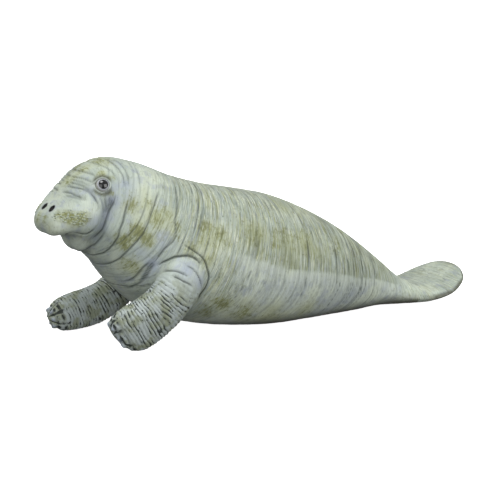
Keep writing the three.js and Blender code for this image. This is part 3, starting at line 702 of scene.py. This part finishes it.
def ball(name, centre, radii, uv_box=(0.01, 0.01, 0.99, 0.99), rings=32, sides=48, axes=np.eye(3)):
    bm = bmesh.new()
    uv_map = bm.loops.layers.uv.new("OFBake")
    bmesh.ops.create_uvsphere(bm, u_segments=sides, v_segments=rings, radius=1, calc_uvs=True)
    u0, v0, u1, v1 = uv_box
    for face in bm.faces:
        for loop in face.loops:
            u, v = loop[uv_map].uv
            loop[uv_map].uv = (u0 + (u1 - u0) * u, v0 + (v1 - v0) * v)
    for v in bm.verts:
        v.co = Vector((np.array(v.co) * radii) @ axes + centre)
    return object_of(name, bm)


def build_skin():
    parts = [
        closed_grid("skin", *body_grid(), (0.01, 0.01, 0.99, 0.70)),
        closed_grid("limb_left", *flipper_grid(FLIPPER_LEFT, ARM_CREASES, 31), (0.01, 0.78, 0.49, 0.99)),
        closed_grid("limb_right", *flipper_grid(FLIPPER_RIGHT, {}, 41), (0.51, 0.78, 0.99, 0.99)),
    ]
    skin = parts[0][0]
    join_by_boolean(skin, [parts[1][0], parts[2][0], lid_ring(1), lid_ring(-1)], "UNION")
    socket = EYEBALL_RADIUS + SOCKET_GAP
    cutters = [ball("socket", eye_frame(side)[0], (socket,) * 3, uv_strip(2 if side > 0 else 3))
               for side in (1, -1)]
    cutters += [ball("nostril", NOSTRIL_CENTRE * np.array([side, 1, 1]), NOSTRIL_RADII,
                     uv_strip(4 if side > 0 else 5), 16, 24, nostril_axes(side))
                for side in (1, -1)]
    join_by_boolean(skin, cutters, "DIFFERENCE")

    refine(skin.data, JOIN_CREASES)

    # Each point takes the paint fields of the nearest points of the surfaces that were joined
    tree, body_tree = tree_of(np.vstack([p[1] for p in parts])), tree_of(parts[0][1])
    count = len(skin.data.vertices)
    co = np.zeros(count * 3)
    skin.data.vertices.foreach_get("co", co)
    co = co.reshape(-1, 3)
    near, weight = nearest(tree, co)
    names = [key for key in {**parts[0][2], **parts[1][2]} if key not in ("along", "around")]
    source = {key: np.concatenate([p[2].get(key, np.zeros(len(p[1]))) for p in parts]) for key in names}
    field = {key: (values[near] * weight).sum(1) for key, values in source.items()}
    for key in ("limb_along", "limb_around"):
        field[key] = source[key][near[:, 0]]
    near, weight = nearest(body_tree, co)
    for key in ("along", "around"):
        field[key] = (parts[0][2][key][near] * weight).sum(1)

    # Where an arm meets the body the two surfaces run into each other, and then the creases are cut
    limb_tree = tree_of(np.vstack([p[1] for p in parts[1:]]))
    gaps = np.array([(body_tree.find(p)[2], limb_tree.find(p)[2]) for p in co]).max(1)
    columns = [co[:, k].copy() for k in range(3)]
    soften(skin.data, gaps < JOIN_REACH, JOIN_ROUNDS,
           columns + [field[key] for key in ("groove", "limb", "nail", "streak")])
    co = np.stack(columns, 1)
    skin.data.vertices.foreach_set("co", co.reshape(-1))
    skin.data.update()
    out = np.empty(count * 3)
    skin.data.vertex_normals.foreach_get("vector", out)
    out = out.reshape(-1, 3)
    for depth, _, cut in crease_marks(to_left(co, co[:, 0]), to_left(out, co[:, 0]), JOIN_CREASES):
        co = co - out * (depth * cut)[:, None]
        field["groove"] = np.maximum(field["groove"], cut)
    skin.data.vertices.foreach_set("co", co.reshape(-1))
    side = to_left(co, co[:, 0])
    _, sideways, upward, _ = eye_frame(1)
    from_eye = side - (EYE_CENTRE + EYE_OUT * 1.2)
    eye = np.linalg.norm(from_eye, axis=1)
    lash = np.abs(from_eye @ upward) / np.maximum(eye, 0.1)
    nostril = np.linalg.norm((side - NOSTRIL_CENTRE) @ nostril_axes(1).T / NOSTRIL_RADII, axis=1)
    # Olive paint, and cool blue-grey painted shade in the hollows
    field["olive"], field["hollow_shade"] = spread(OLIVE_PLACES, side), spread(HOLLOW_SHADE_PLACES, side)
    field["bristle"] = spread(BRISTLE_PLACES, side, 4)
    corner = np.linalg.norm(from_eye - FRONT_CORNER * sideways, axis=1)
    field["eye_rim"] = np.maximum(np.exp(-((eye - 2.8) / 0.4) ** 2), np.exp(-(corner / 0.9) ** 2))
    field["lash"] = np.exp(-((eye - 3.6) / 0.85) ** 2) * np.clip(lash * 2.2 - 0.4, 0, 1)
    # Painted shade: the body is darker near the floor, ahead of the tail paddle and off the flippers
    near_floor = np.clip(1.35 * (1 - co[:, 2] / UNDERSIDE_SHADE_HEIGHT), 0, 1) ** 1.2
    field["under"] = near_floor * (1 - field["limb"]) * (co[:, 1] < UNDERSIDE_SHADE_END)
    # Painted shade along the tail paddle's edge
    field["paddle_edge_shade"] = paddle_rim(co)
    field["nostril"] = np.clip((1.28 - nostril) / 0.2, 0, 1)
    # A pale ring round each nostril: painted highlight on its rim
    field["nostril_rim"] = np.exp(-((nostril - 1.4) / 0.22) ** 2)
    for key, values in field.items():
        layer = skin.data.attributes.new(key, "FLOAT", "POINT")
        layer.data.foreach_set("value", values.astype(np.float32))
    place_in_frame(skin)
    skin.data.shade_smooth()
    return skin


def bump_tree(material):
    """Small rounded bumps strewn over the places marked as bristle, set along the surface."""
    tree = bpy.data.node_groups.new("bristle_bumps", "GeometryNodeTree")
    sockets = {}
    tree.interface.new_socket("Geometry", in_out="INPUT", socket_type="NodeSocketGeometry")
    for name, kind in (("Spacing", "Float"), ("Density", "Float"), ("Radius", "Float"), ("Seed", "Int")):
        socket = tree.interface.new_socket(name, in_out="INPUT", socket_type="NodeSocket" + kind)
        sockets[name] = socket.identifier
    tree.interface.new_socket("Geometry", in_out="OUTPUT", socket_type="NodeSocketGeometry")
    nodes, link = tree.nodes, tree.links.new
    given = nodes.new("NodeGroupInput")
    marked = nodes.new("GeometryNodeInputNamedAttribute")
    marked.data_type = "FLOAT"
    marked.inputs["Name"].default_value = "bristle"
    strewn = nodes.new("GeometryNodeDistributePointsOnFaces")
    strewn.distribute_method = "POISSON"
    link(given.outputs["Geometry"], strewn.inputs["Mesh"])
    link(given.outputs["Spacing"], strewn.inputs["Distance Min"])
    link(given.outputs["Density"], strewn.inputs["Density Max"])
    link(marked.outputs["Attribute"], strewn.inputs["Density Factor"])
    link(given.outputs["Seed"], strewn.inputs["Seed"])
    bead = nodes.new("GeometryNodeMeshIcoSphere")
    bead.inputs["Subdivisions"].default_value = 3
    link(given.outputs["Radius"], bead.inputs["Radius"])
    size = nodes.new("FunctionNodeRandomValue")
    size.data_type = "FLOAT_VECTOR"
    size.inputs["Min"].default_value = (0.8, 0.7, 0.55)
    size.inputs["Max"].default_value = (1.5, 1.0, 0.8)
    link(given.outputs["Seed"], size.inputs["Seed"])
    placed = nodes.new("GeometryNodeInstanceOnPoints")
    link(strewn.outputs["Points"], placed.inputs["Points"])
    link(strewn.outputs["Rotation"], placed.inputs["Rotation"])
    link(bead.outputs["Mesh"], placed.inputs["Instance"])
    link(size.outputs["Value"], placed.inputs["Scale"])
    made = nodes.new("GeometryNodeRealizeInstances")
    link(placed.outputs["Instances"], made.inputs["Geometry"])
    painted = nodes.new("GeometryNodeSetMaterial")
    painted.inputs["Material"].default_value = material
    link(made.outputs["Geometry"], painted.inputs["Geometry"])
    link(painted.outputs["Geometry"], nodes.new("NodeGroupOutput").inputs["Geometry"])
    return tree, sockets


def build_bumps(skin, material):
    tree, sockets = bump_tree(material)
    bumps = skin.copy()
    bpy.context.scene.collection.objects.link(bumps)
    step = bumps.modifiers.new("bumps", "NODES")
    step.node_group = tree
    values = {"Spacing": BUMP_SPACING * MM, "Density": BUMP_DENSITY / MM ** 2, "Radius": BUMP_RADIUS * MM,
              "Seed": BUMP_SEED}
    for name, value in values.items():
        step[sockets[name]] = value
    graph = bpy.context.evaluated_depsgraph_get()
    mesh = bpy.data.meshes.new_from_object(bumps.evaluated_get(graph))
    bpy.data.objects.remove(bumps)
    obj = bpy.data.objects.new("bristle_bumps", mesh)
    bpy.context.scene.collection.objects.link(obj)
    bead = mesh.attributes.new("bead", "FLOAT", "POINT")
    bead.data.foreach_set("value", np.ones(len(mesh.vertices), np.float32))
    obj.data.shade_smooth()
    return obj


def paddle_rim(co):
    """How near a point is to the edge of the tail paddle, from 0 to 1."""
    rows = np.array(list(SECTIONS.values()), float)
    y = (rows[:, 0] + rows[:, 2]) / 2
    half = np.interp(co[:, 1], y, rows[:, 4])
    past = np.clip((co[:, 1] - 72) / 10, 0, 1)
    edge = np.maximum(np.abs(co[:, 0]) / np.maximum(half, 1), (co[:, 1] - 60) / 43.4)
    return past * np.clip((edge - 0.93) / 0.07, 0, 1)


def place_in_frame(obj):
    obj.data.transform(Matrix.Diagonal((MM, MM, MM, 1)) @ Matrix.Translation(Vector(SHIFT)))


# Materials

class Graph:
    """Short calls for building a node tree."""

    def __init__(self, tree):
        self.nodes, self.links = tree.nodes, tree.links

    def put(self, socket, value):
        if isinstance(value, bpy.types.NodeSocket):
            self.links.new(value, socket)
        elif value is not None:
            socket.default_value = value

    def math(self, operation, a, b=None, c=None, clamp=False):
        node = self.nodes.new("ShaderNodeMath")
        node.operation, node.use_clamp = operation, clamp
        for socket, value in zip(node.inputs, (a, b, c)):
            self.put(socket, value)
        return node.outputs[0]

    def times(self, a, b):
        return self.math("MULTIPLY", a, b)

    def over(self, under, paint, where, strength):
        """A paint laid over another where a mask says, at a strength."""
        return self.mix(self.times(where, strength), under, paint)

    def field(self, name):
        node = self.nodes.new("ShaderNodeAttribute")
        node.attribute_name = name
        return node.outputs["Fac"]

    def vector(self, x, y, z):
        node = self.nodes.new("ShaderNodeCombineXYZ")
        for socket, value in zip(node.inputs, (x, y, z)):
            self.put(socket, value)
        return node.outputs[0]

    def noise(self, vector, scale, detail=2.0, roughness=0.55):
        node = self.nodes.new("ShaderNodeTexNoise")
        self.put(node.inputs["Vector"], vector)
        self.put(node.inputs["Scale"], scale)
        self.put(node.inputs["Detail"], detail)
        self.put(node.inputs["Roughness"], roughness)
        return node.outputs["Fac"]

    def ramp(self, value, low, high):
        node = self.nodes.new("ShaderNodeMapRange")
        node.interpolation_type = "SMOOTHSTEP"
        self.put(node.inputs["Value"], value)
        self.put(node.inputs["From Min"], low)
        self.put(node.inputs["From Max"], high)
        return node.outputs["Result"]

    def mix(self, factor, a, b, blend="MIX"):
        node = self.nodes.new("ShaderNodeMix")
        node.data_type, node.blend_type = "RGBA", blend
        self.put(node.inputs[0], factor)
        self.put(node.inputs[6], a)
        self.put(node.inputs[7], b)
        return node.outputs[2]


def colour(r, g, b):
    """An sRGB colour of 0 to 255 as linear values."""
    return tuple((c / 255 / 12.92 if c / 255 <= 0.04045 else ((c / 255 + 0.055) / 1.055) ** 2.4)
                 for c in (r, g, b)) + (1.0,)


GREY_GREEN, GREY_PALE, GREY_COOL = colour(172, 184, 174), colour(200, 210, 196), colour(158, 168, 186)
GREY_LOW, GREY_LIMB, GREY_LIMB_OLIVE = colour(184, 194, 190), colour(180, 190, 188), colour(150, 158, 136)
OLIVE_PALE, OLIVE_DEEP = colour(170, 176, 126), colour(120, 124, 70)
WASH_OLIVE, WASH_DARK, CREAM = colour(118, 126, 84), colour(78, 88, 70), colour(230, 236, 212)
# The third dark on the next line is painted shade, under the body and along the tail paddle's edge; the
# groove dark is partly painted shade in the creases
GROOVE_DARK, LIMB_DARK, PAINTED_SHADE_DARK = colour(52, 60, 56), colour(36, 42, 36), colour(54, 52, 28)
EYE_PALE, LASH_OLIVE, NOSTRIL_BLACK = colour(186, 192, 192), colour(56, 60, 30), colour(18, 18, 18)


def new_material(name):
    material = bpy.data.materials.new(name)
    material.use_nodes = True
    return material, Graph(material.node_tree), material.node_tree.nodes["Principled BSDF"]


def skin_material():
    """Brushed olive, cream and grey-green paint, with painted shade in the hollows, creases and underneath,
    laid on by the fields of the skin's points.
    """
    material, g, shader = new_material("painted_skin")
    along, around = g.field("along"), g.field("around")
    groove, olive, limb, low = g.field("groove"), g.field("olive"), g.field("limb"), g.field("low")
    streak = g.field("streak")
    place = g.nodes.new("ShaderNodeTexCoord").outputs["Object"]
    apart = g.nodes.new("ShaderNodeSeparateXYZ")
    g.put(apart.inputs[0], place)

    def brush(fine, long, offset, detail=2.0):
        """Strokes running round the body: fine along it, long round it."""
        way = g.vector(g.times(along, fine), g.times(around, long),
                       g.math("MULTIPLY_ADD", apart.outputs["X"], 40.0, offset))
        return g.noise(way, 1.0, detail, 0.6)

    def streaky(least, most):
        return g.math("MULTIPLY_ADD", streak, most - least, least)

    cloud = g.noise(place, 70.0, 3.0, 0.55)
    blotch = g.noise(place, 210.0, 3.0, 0.6)
    mottle = g.noise(place, 620.0, 3.0, 0.65)
    speck = g.noise(place, 1400.0, 2.0, 0.7)

    pale = g.mix(g.ramp(cloud, 0.35, 0.65), GREY_GREEN, GREY_PALE)
    pale = g.mix(low, pale, g.mix(g.ramp(cloud, 0.42, 0.6), GREY_LOW, GREY_PALE))
    pale = g.mix(g.times(g.ramp(blotch, 0.5, 0.66), 0.55), pale, GREY_COOL)
    # Cool blue-grey painted shade in the hollows
    pale = g.mix(g.field("hollow_shade"), pale, GREY_COOL)

    # Olive in long patches, then a dark wash, then cream dragged over the ridges
    olive_at = g.math("ADD", brush(1.3, 0.05, 0.0, 3.0), g.times(blotch, 0.55))
    wide_olive = g.times(g.ramp(olive_at, 0.70, 1.02), streaky(0.12, 0.85))
    painted = g.mix(wide_olive, pale, OLIVE_PALE)
    wash = g.times(g.ramp(brush(2.6, 0.10, 9.0), 0.52, 0.68), streaky(0.06, 0.6))
    painted = g.mix(wash, painted, WASH_OLIVE)
    cream = g.times(g.ramp(brush(2.9, 0.11, 21.0), 0.52, 0.64), streaky(0.10, 0.7))
    painted = g.mix(cream, painted, CREAM)
    thread = g.times(g.ramp(brush(4.2, 0.08, 33.0), 0.60, 0.70), streaky(0.05, 0.6))
    painted = g.mix(thread, painted, WASH_DARK)
    wrinkle_at = g.math("ABSOLUTE", g.math("SUBTRACT", brush(0.8, 0.035, 51.0, 1.0), 0.5))
    wrinkle = g.times(g.math("SUBTRACT", 1.0, g.ramp(wrinkle_at, 0.0, 0.02)), streaky(0.25, 0.55))
    painted = g.mix(wrinkle, painted, WASH_DARK)
    tint = g.times(g.ramp(g.math("MULTIPLY_ADD", olive, 0.5, cloud), 0.55, 1.05), 0.6)
    painted = g.mix(tint, painted, OLIVE_PALE)
    over_line = g.times(g.field("band"), g.ramp(g.math("ADD", brush(1.6, 0.06, 71.0), cloud), 0.85, 1.15))
    painted = g.over(painted, WASH_OLIVE, over_line, 0.6)
    painted = g.over(painted, GREY_PALE, g.field("ledge"), 0.55)
    patch_at = g.math("ADD", g.times(mottle, 0.6), g.times(blotch, 0.4))
    patch_at = g.math("ADD", patch_at, g.times(g.math("SUBTRACT", brush(2.2, 0.2, 63.0), 0.5), 0.8))
    patch = g.ramp(g.math("MULTIPLY_ADD", olive, 0.5, patch_at), 0.74, 1.06)
    painted = g.over(painted, OLIVE_DEEP, patch, 0.8)
    painted = g.over(painted, WASH_OLIVE, g.ramp(mottle, 0.56, 0.72), 0.35)
    painted = g.over(painted, WASH_OLIVE, g.ramp(speck, 0.60, 0.72), 0.25)

    # The flippers are greyer, with dark broken marks in their wrinkles
    across = g.vector(g.times(g.field("limb_along"), 1.7), g.times(g.field("limb_around"), 0.35), 7.0)
    dash = g.ramp(g.noise(across, 1.0, 2.0, 0.6), 0.56, 0.66)
    mark_at = g.math("MULTIPLY_ADD", dash, 0.3, groove)
    mark_at = g.math("MULTIPLY_ADD", g.math("SUBTRACT", mottle, 0.5), 1.1, mark_at)
    marks = g.ramp(mark_at, 0.24, 0.50)
    limb_paint = g.mix(g.ramp(blotch, 0.42, 0.62), GREY_LIMB, GREY_LIMB_OLIVE)
    limb_paint = g.mix(g.times(g.ramp(mottle, 0.55, 0.7), 0.4), limb_paint, GREY_PALE)
    limb_paint = g.over(limb_paint, LIMB_DARK, marks, 0.92)
    limb_paint = g.over(limb_paint, GREY_COOL, g.field("nail"), 0.8)
    painted = g.mix(limb, painted, limb_paint)

    # Creases darkened by their depth: partly the toy's dark wash, partly painted shade
    painted = g.over(painted, GROOVE_DARK, groove, 0.88)
    # Painted shade under the body, near the floor
    painted = g.over(painted, PAINTED_SHADE_DARK, g.field("under"), 0.92)
    # Painted shade along the tail paddle's edge, in the same dark as under the body
    painted = g.over(painted, PAINTED_SHADE_DARK, g.field("paddle_edge_shade"), 0.75)
    dirt = g.times(g.field("bristle"), g.math("MULTIPLY_ADD", g.ramp(mottle, 0.4, 0.62), 0.6, 0.3))
    painted = g.mix(dirt, painted, OLIVE_DEEP)
    painted = g.over(painted, GREY_GREEN, g.field("bead"), 0.45)
    painted = g.over(painted, LASH_OLIVE, g.field("lash"), 0.9)
    painted = g.over(painted, EYE_PALE, g.field("eye_rim"), 0.35)
    # Painted highlight round each nostril's rim
    painted = g.over(painted, EYE_PALE, g.field("nostril_rim"), 0.5)
    painted = g.mix(g.field("nostril"), painted, NOSTRIL_BLACK)
    g.put(shader.inputs["Base Color"], painted)
    g.put(shader.inputs["Roughness"], g.math("MULTIPLY_ADD", g.ramp(cloud, 0.3, 0.7), 0.12, 0.48))
    shader.inputs["Specular IOR Level"].default_value = 0.4

    bump = g.nodes.new("ShaderNodeBump")
    bump.inputs["Strength"].default_value = 0.6
    bump.inputs["Distance"].default_value = 0.0003
    height = g.math("ADD", g.times(speck, 0.3), g.math("SUBTRACT", cream, wash))
    g.put(bump.inputs["Height"], height)
    g.put(shader.inputs["Normal"], bump.outputs[0])
    return material


def eye_material():
    """A pale eye with a dark ring and a black middle, under a gloss."""
    material, g, shader = new_material("eye_paint")
    gaze = g.field("gaze")
    # The pale darkens towards the ball's edge, where it goes under the lid: painted shade
    pale = g.mix(g.ramp(gaze, 0.45, 0.80), colour(158, 160, 150), colour(188, 192, 200))
    ring = g.mix(g.ramp(gaze, 0.740, 0.775), pale, colour(110, 112, 116))
    black = g.mix(g.ramp(gaze, 0.780, 0.800), ring, colour(8, 8, 10))
    g.put(shader.inputs["Base Color"], black)
    shader.inputs["Roughness"].default_value = 0.12
    shader.inputs["Coat Weight"].default_value = 0.6
    shader.inputs["Coat Roughness"].default_value = 0.05
    return material


def build_eye(name, side, material):
    centre, _, _, look = eye_frame(side)
    obj = ball(name, centre, (EYEBALL_RADIUS,) * 3)
    co = np.array([v.co for v in obj.data.vertices])
    gaze = ((co - centre) / EYEBALL_RADIUS) @ unit(look + np.array([0, GAZE_BACK, 0]))
    layer = obj.data.attributes.new("gaze", "FLOAT", "POINT")
    layer.data.foreach_set("value", gaze.astype(np.float32))
    place_in_frame(obj)
    obj.data.shade_smooth()
    obj.data.materials.append(material)
    return obj


# Stage, lights and camera

def build_stage():
    """A white floor that the camera sees but that throws no light up at the figure, and a soft sky."""
    bm = bmesh.new()
    bmesh.ops.create_grid(bm, x_segments=1, y_segments=1, size=FLOOR_HALF)
    floor = object_of("floor", bm)
    floor.visible_diffuse = False
    floor.visible_glossy = False
    material, _, shader = new_material("floor_white")
    shader.inputs["Base Color"].default_value = (0.9, 0.9, 0.9, 1)
    shader.inputs["Roughness"].default_value = 0.9
    shader.inputs["Emission Color"].default_value = (1, 1, 1, 1)
    shader.inputs["Emission Strength"].default_value = FLOOR_GLOW
    floor.data.materials.append(material)
    world = bpy.data.worlds.new("studio")
    world.use_nodes = True
    sky = Graph(world.node_tree)
    way = sky.nodes.new("ShaderNodeSeparateXYZ")
    sky.put(way.inputs[0], sky.nodes.new("ShaderNodeTexCoord").outputs["Generated"])
    sky_light = sky.ramp(way.outputs["Z"], -0.5, 0.5)
    background = sky.nodes["Background"]
    background.inputs["Color"].default_value = (1, 1, 1, 1)
    strength = sky.math("MULTIPLY_ADD", sky_light, SKY_ABOVE - SKY_BELOW, SKY_BELOW)
    sky.put(background.inputs["Strength"], strength)
    bpy.context.scene.world = world
    bpy.context.scene.view_settings.view_transform = "Standard"


def area_light(name, place, target, size, watts):
    light = bpy.data.lights.new(name, "AREA")
    light.size, light.energy = size, watts
    obj = bpy.data.objects.new(name, light)
    obj.location = Vector(place)
    obj.rotation_euler = (Vector(target) - Vector(place)).to_track_quat("-Z", "Y").to_euler()
    bpy.context.scene.collection.objects.link(obj)


def view_axes(azimuth, elevation):
    a, e = math.radians(azimuth), math.radians(elevation)
    back = Vector((math.sin(a) * math.cos(e), -math.cos(a) * math.cos(e), math.sin(e)))
    right = Vector((math.cos(a), math.sin(a), 0))
    return back, right, back.cross(right)


def build_camera():
    back, right, up = view_axes(VIEW_AZIMUTH, VIEW_ELEVATION)
    target = VIEW_TARGET * MM
    data = bpy.data.cameras.new("camera")
    data.sensor_width = SENSOR_WIDTH
    data.lens = FOCAL_PIXELS / FRAME_PIXELS * SENSOR_WIDTH
    data.clip_start, data.clip_end = 0.01, 100
    camera = bpy.data.objects.new("camera", data)
    camera.location = target + back * VIEW_DISTANCE * MM
    turn = Matrix((right, up, back)).transposed().to_4x4()
    camera.matrix_world = Matrix.Translation(camera.location) @ turn
    bpy.context.scene.collection.objects.link(camera)
    bpy.context.scene.camera = camera


build_camera()
build_stage()
for name, light in LIGHTS.items():
    area_light(name, *light)

skin = build_skin()
skin.data.materials.clear()
skin_paint = skin_material()
skin.data.materials.append(skin_paint)
bumps = build_bumps(skin, skin_paint)
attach(bumps, "root")
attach(skin, "root")
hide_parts("head", "neck", "torso", "tail_stock", "tail_paddle", "flipper_left", "flipper_right")

eye_paint = eye_material()
for side_name, side in (("left", 1), ("right", -1)):
    eye = build_eye(f"eyeball_{side_name}", side, eye_paint)
    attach(eye, "root")
    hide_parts(f"eye_{side_name}")
